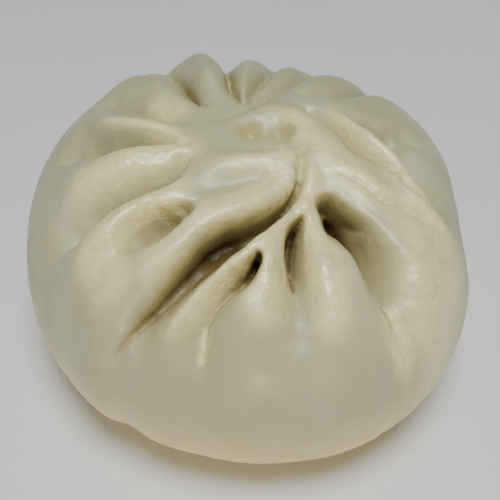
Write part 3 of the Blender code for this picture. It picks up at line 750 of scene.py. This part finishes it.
def dough_material(finish):
    """Steamed dough: cream skin with painted shade in the folds and painted warm bounce light at the foot,
    damp where it's stretched, with a painted highlight on the damp crests.
    """
    make = NodeMaker("steamed_dough")
    place = make.add("ShaderNodeTexCoord").outputs["Object"]
    height = make.add("ShaderNodeSeparateXYZ", {0: place}).outputs["Z"]
    masks = make.add("ShaderNodeVertexColor", layer_name=MASKS).outputs["Color"]
    parts = make.add("ShaderNodeSeparateColor", {0: masks}).outputs
    deep = parts["Red"]
    damp = parts["Green"]
    stain = parts["Blue"]
    hollow = make.math("MAXIMUM", deep, stain)
    cloud = make.noise(place, *CLOUD)
    mottle = make.noise(place, *MOTTLE)

    # Cream and paler clouds, with a cooler mottling
    skin = make.blend(make.span(cloud, *PALE_SPAN), rgba(finish.cream), rgba(finish.pale))
    skin = make.blend(make.span(mottle, *GREY_SPAN), skin, rgba(finish.grey))
    # Painted highlight: paler where the skin is damp over a crest, broken into streaks
    damp = make.times(damp, make.span(hollow, *DAMP_OUTSIDE_FOLDS))
    streaks = make.span(make.noise(place, *STREAK), *STREAK_SPAN)
    highlighted = make.times(make.span(damp, *CREST_HIGHLIGHT_SPAN), streaks)
    skin = make.blend(make.times(highlighted, CREST_HIGHLIGHT_COVER), skin, rgba(finish.crest_highlight))
    # Painted warm bounce light, stronger towards the foot
    edge = make.math("ADD", height, make.times(cloud, BOUNCE_LIGHT_RAGGEDNESS))
    bounce_lit = make.span(edge, *BOUNCE_LIGHT_SPAN)
    skin = make.blend(make.times(bounce_lit, BOUNCE_LIGHT_COVER), skin, rgba(finish.foot))
    # Painted shade, browner down in the folds and darkest in the slits, and a yellow stain in the dimples
    edge = make.math("ADD", deep, make.times(mottle, FOLD_SHADE_RAGGEDNESS))
    fold_shade = make.span(edge, *FOLD_SHADE_SPAN)
    skin = make.blend(make.times(fold_shade, FOLD_SHADE_COVER), skin, rgba(finish.fold))
    slit_shade = make.span(deep, *DEEP_SHADE_SPAN)
    skin = make.blend(make.times(slit_shade, DEEP_SHADE_COVER), skin, rgba(finish.deep))
    stained = make.times(stain, make.span(mottle, *STAIN_SPAN))
    skin = make.blend(stained, skin, rgba(finish.stain))

    # A film of water, in patches on the dry skin too, and none down in the folds
    patchy = make.span(make.noise(place, *FILM_PATCH), *FILM_PATCH_SPAN)
    film = make.times(make.math("MAXIMUM", damp, patchy), make.span(mottle, *FILM_BREAK_SPAN))
    film = make.times(film, make.span(hollow, *FILM_OUTSIDE_FOLDS))
    rough = make.span(mottle, *ROUGH_SPAN, finish.roughness - SMOOTHER, finish.roughness + ROUGHER)
    rough = make.math("SUBTRACT", rough, make.times(film, FILM_SMOOTHING))
    # The finest unevenness: mottling, specks, and crinkles where it's damp
    normal = make.bump(mottle, *MOTTLE_BUMP)
    normal = make.bump(make.noise(place, *SPECK), *SPECK_BUMP, normal)
    crinkle = make.math("SUBTRACT", make.noise(place, *CRINKLE), NOISE_MIDDLE)
    crinkle = make.times(make.math("ABSOLUTE", crinkle), damp)
    normal = make.bump(crinkle, *CRINKLE_BUMP, normal)
    return make.dress({
        "Base Color": skin,
        "Roughness": rough,
        "Normal": normal,
        "Specular IOR Level": SKIN_SPECULAR,
        "Coat Weight": film,
        "Coat Roughness": FILM_ROUGHNESS,
        "Coat IOR": FILM_IOR,
        "Subsurface Weight": finish.softness,
        "Subsurface Radius": UNDER_SKIN_RADIUS,
        "Subsurface Scale": UNDER_SKIN_SCALE,
    })


def floor_material(stage):
    """A pale board with faint clouds in its colour."""
    make = NodeMaker("pale_board")
    place = make.add("ShaderNodeTexCoord").outputs["Object"]
    cloud = make.noise(place, *FLOOR_CLOUD)
    darker = tuple(FLOOR_SHADE * part for part in stage.floor_colour)
    colour = make.blend(cloud, rgba(stage.floor_colour), rgba(darker))
    return make.dress({"Base Color": colour, "Roughness": FLOOR_ROUGHNESS})


class BunShapeSettings(bpy.types.PropertyGroup):
    """How finely the dough is modelled, and how rough its skin is."""

    turns: IntProperty(name="Turns", description="Columns of the ball that the dome is pressed from",
                       default=180, min=60)
    rings: IntProperty(name="Rings", description="Rings of the ball that the dome is pressed from",
                       default=90, min=30)
    splits: IntProperty(name="Splits", description="How often each of the ball's faces is split",
                        default=2, min=0, max=3)
    grain: FloatProperty(name="Grain", description="Spacing of the skin drawn over the folds, in mm",
                         default=0.44, min=0.3)
    softening: IntProperty(name="Softening", default=4, min=0,
                           description="Rounds of smoothing after the folds are pressed")
    triangles: IntProperty(name="Triangles", description="Triangles of the finished skin",
                           default=190000, min=20000)
    unevenness: FloatProperty(name="Unevenness", description="Height of the dough's slow bumps, in mm",
                              default=0.22, min=0)
    wrinkle_height: FloatProperty(name="Wrinkle height", default=0.11, min=0,
                                  description="Height of the fine wrinkles, in mm")


class DoughFinishSettings(bpy.types.PropertyGroup):
    """The colours and the finish of the dough, painted shade, bounce light and highlight among them."""

    cream: FloatVectorProperty(name="Cream", description="Main colour of the skin", subtype="COLOR",
                               default=(0.45, 0.43, 0.23), min=0, max=1)
    # Painted highlight on the damp crests
    crest_highlight: FloatVectorProperty(name="Crest", description="Stretched dough on the damp crests",
                               subtype="COLOR", default=(0.92, 0.83, 0.40), min=0, max=1)
    pale: FloatVectorProperty(name="Pale", description="Lighter clouds in the skin", subtype="COLOR",
                              default=(0.51, 0.49, 0.285), min=0, max=1)
    grey: FloatVectorProperty(name="Grey", description="Faint cooler mottling", subtype="COLOR",
                              default=(0.40, 0.41, 0.24), min=0, max=1)
    # Painted warm bounce light near the foot
    foot: FloatVectorProperty(name="Foot", description="Warmer dough near the foot", subtype="COLOR",
                              default=(0.97, 0.78, 0.31), min=0, max=1)
    # Painted shade down in a fold
    fold: FloatVectorProperty(name="Fold", description="Dough down in a fold", subtype="COLOR",
                              default=(0.36, 0.305, 0.14), min=0, max=1)
    # Painted shade, darkest at the foot of a slit
    deep: FloatVectorProperty(name="Deep", description="The darkest dough at the foot of a slit",
                              subtype="COLOR", default=(0.13, 0.082, 0.022), min=0, max=1)
    stain: FloatVectorProperty(name="Stain", description="The yellow stain in the twist's dimple",
                               subtype="COLOR", default=(0.50, 0.42, 0.15), min=0, max=1)
    roughness: FloatProperty(name="Roughness", description="Roughness of the dry skin", default=0.4,
                             min=0, max=1)
    softness: FloatProperty(name="Softness", description="Share of the light that passes under the skin",
                            default=0.2, min=0, max=1)


class StageSettings(bpy.types.PropertyGroup):
    """The floor and the lights."""

    floor_colour: FloatVectorProperty(name="Floor", description="Colour of the floor", subtype="COLOR",
                                      default=(0.80, 0.81, 0.83), min=0, max=1)
    floor_size: FloatProperty(name="Floor size", description="Width of the floor", unit="LENGTH",
                              default=6.0, min=1)
    key_power: FloatProperty(name="Key light", description="Power of the broad light overhead, in watts",
                             default=3.3, min=0)
    fill_power: FloatProperty(name="Fill light", description="Power of the low light in front, in watts",
                              default=0.5, min=0)
    sky: FloatProperty(name="Room light", description="Strength of the even light of the room",
                       default=0.16, min=0)


class BUN_OT_dough(bpy.types.Operator):
    """Models the pleated bun over its solid and gives it its skin"""

    bl_idname = "bun.dough"
    bl_label = "Pleated dough"

    def execute(self, context):
        settings = context.scene.bun_shape
        finish = context.scene.bun_finish
        coarse = 1
        deselect_all()
        bpy.ops.mesh.primitive_uv_sphere_add(segments=settings.turns, ring_count=settings.rings,
                                             radius=RADIUS, location=(0, 0, 0))
        piece = context.object
        piece.name = "pleated_dough"
        apply_modifier(piece, "SUBSURF", subdivision_type="SIMPLE", levels=settings.splits // coarse)
        ball_to_dome(piece.data)
        sunk = press_pleats(piece.data)
        pressed_places = vertex_places(piece.data)
        apply_modifier(piece, "REMESH", mode="VOXEL", voxel_size=settings.grain * coarse ** 0.5)
        apply_modifier(piece, "SMOOTH", factor=SMOOTHING, iterations=settings.softening // coarse)
        self.drop_scraps()
        shift = centre_shift(vertex_places(piece.data))
        flatten_foot(piece)
        roughen_skin(piece.data, settings)
        apply_modifier(piece, "TRIANGULATE")
        share = min(1.0, settings.triangles / len(piece.data.polygons))
        apply_modifier(piece, "DECIMATE", ratio=share)
        keep_masks(piece.data, pressed_places, sunk)
        place_vertices(piece.data, (vertex_places(piece.data) + shift) * MM)
        piece.data.shade_smooth()
        piece.data.materials.append(dough_material(finish))
        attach(piece, "root")
        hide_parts(NODE)
        return {"FINISHED"}

    def drop_scraps(self):
        """Keeps only the body that the highest vertex belongs to."""
        bpy.ops.object.mode_set(mode="EDIT")
        bpy.ops.mesh.select_all(action="DESELECT")
        bpy.ops.object.mode_set(mode="OBJECT")
        mesh = bpy.context.object.data
        top = int(vertex_places(mesh)[:, 2].argmax())
        mesh.vertices[top].select = True
        bpy.ops.object.mode_set(mode="EDIT")
        bpy.ops.mesh.select_linked()
        bpy.ops.mesh.select_all(action="INVERT")
        bpy.ops.mesh.delete(type="VERT")
        bpy.ops.object.mode_set(mode="OBJECT")


def point_at(thing, target):
    """Turns a light or camera to face a point."""
    way = Vector(target) - thing.location
    thing.rotation_euler = way.to_track_quat("-Z", "Y").to_euler()


def add_area_light(name, place, size, power, target, colour=(1.0, 1.0, 1.0)):
    """A round soft light that faces the target."""
    bpy.ops.object.light_add(type="AREA", location=place)
    light = bpy.context.object
    light.name = name
    light.data.shape = "DISK"
    light.data.size = size
    light.data.energy = power
    light.data.color = colour
    point_at(light, target)


class BUN_OT_stage(bpy.types.Operator):
    """Sets up the floor, the soft lights and the camera"""

    bl_idname = "bun.stage"
    bl_label = "Stage"

    def execute(self, context):
        stage = context.scene.bun_stage
        deselect_all()
        bpy.ops.mesh.primitive_plane_add(size=stage.floor_size, location=(0, 0, 0))
        floor = context.object
        floor.name = "floor"
        floor.data.materials.append(floor_material(stage))
        self.light_room(context.scene, stage)
        middle = (0, 0, AIM_HEIGHT * MM)
        foot = (0, 0, 0)
        add_area_light("overhead", OVERHEAD_PLACE, OVERHEAD_WIDTH, stage.key_power, middle)
        add_area_light("left_side", LEFT_PLACE, LEFT_WIDTH, LEFT_SHARE * stage.key_power, middle)
        add_area_light("low_front", LOW_PLACE, LOW_WIDTH, stage.fill_power, foot, LOW_COLOUR)
        self.place_camera(context.scene)
        return {"FINISHED"}

    def light_room(self, scene, stage):
        """Lights the room evenly."""
        room = bpy.data.worlds.new("room")
        room.use_nodes = True
        background = room.node_tree.nodes["Background"]
        background.inputs["Color"].default_value = rgba(ROOM_COLOUR)
        background.inputs["Strength"].default_value = stage.sky
        scene.world = room

    def place_camera(self, scene):
        """Stands the camera at the picture's angle, with the bun where the picture has it."""
        bpy.ops.object.camera_add()
        camera = bpy.context.object
        camera.name = "camera"
        camera.data.sensor_width = SENSOR
        camera.data.lens = SENSOR * FOCAL_PIXELS / IMAGE_SIDE
        camera.data.clip_start = CLIP_START
        back = Vector((0, -math.cos(CAMERA_ELEVATION), math.sin(CAMERA_ELEVATION)))
        camera.rotation_euler = (-back).to_track_quat("-Z", "Y").to_euler()
        right = Vector((1, 0, 0))
        up = back.cross(right)
        per_pixel = CAMERA_DISTANCE / FOCAL_PIXELS
        aside = (IMAGE_SIDE / 2 - AIM_PIXEL[0]) * per_pixel
        above = (AIM_PIXEL[1] - IMAGE_SIDE / 2) * per_pixel
        aim = Vector((0, 0, AIM_HEIGHT)) + Vector(PICTURE_SHIFT)
        camera.location = (aim + back * CAMERA_DISTANCE + right * aside + up * above) * MM
        scene.camera = camera


class BUN_PT_panel(bpy.types.Panel):
    """Lists the bun's operators and settings"""

    bl_idname = "BUN_PT_panel"
    bl_label = "Pleated Steamed Bun"
    bl_space_type = "VIEW_3D"
    bl_region_type = "UI"
    bl_category = "Bun"

    def draw(self, context):
        layout = self.layout
        for settings, operators in PANEL_ROWS:
            group = getattr(context.scene, settings)
            for name in type(group).__annotations__:
                layout.prop(group, name)
            for operator in operators:
                layout.operator(operator)


PANEL_ROWS = (("bun_shape", ()), ("bun_finish", ("bun.dough",)), ("bun_stage", ("bun.stage",)))
SETTINGS = (("bun_shape", BunShapeSettings), ("bun_finish", DoughFinishSettings),
            ("bun_stage", StageSettings))
CLASSES = (BunShapeSettings, DoughFinishSettings, StageSettings, BUN_OT_dough, BUN_OT_stage,
           BUN_PT_panel)


def register():
    for kind in CLASSES:
        bpy.utils.register_class(kind)
    for name, kind in SETTINGS:
        setattr(bpy.types.Scene, name, PointerProperty(type=kind))


def unregister():
    for name, _ in SETTINGS:
        delattr(bpy.types.Scene, name)
    for kind in reversed(CLASSES):
        bpy.utils.unregister_class(kind)


def main():
    register()
    bpy.ops.bun.dough()
    bpy.ops.bun.stage()


if __name__ == "__main__":
    main()
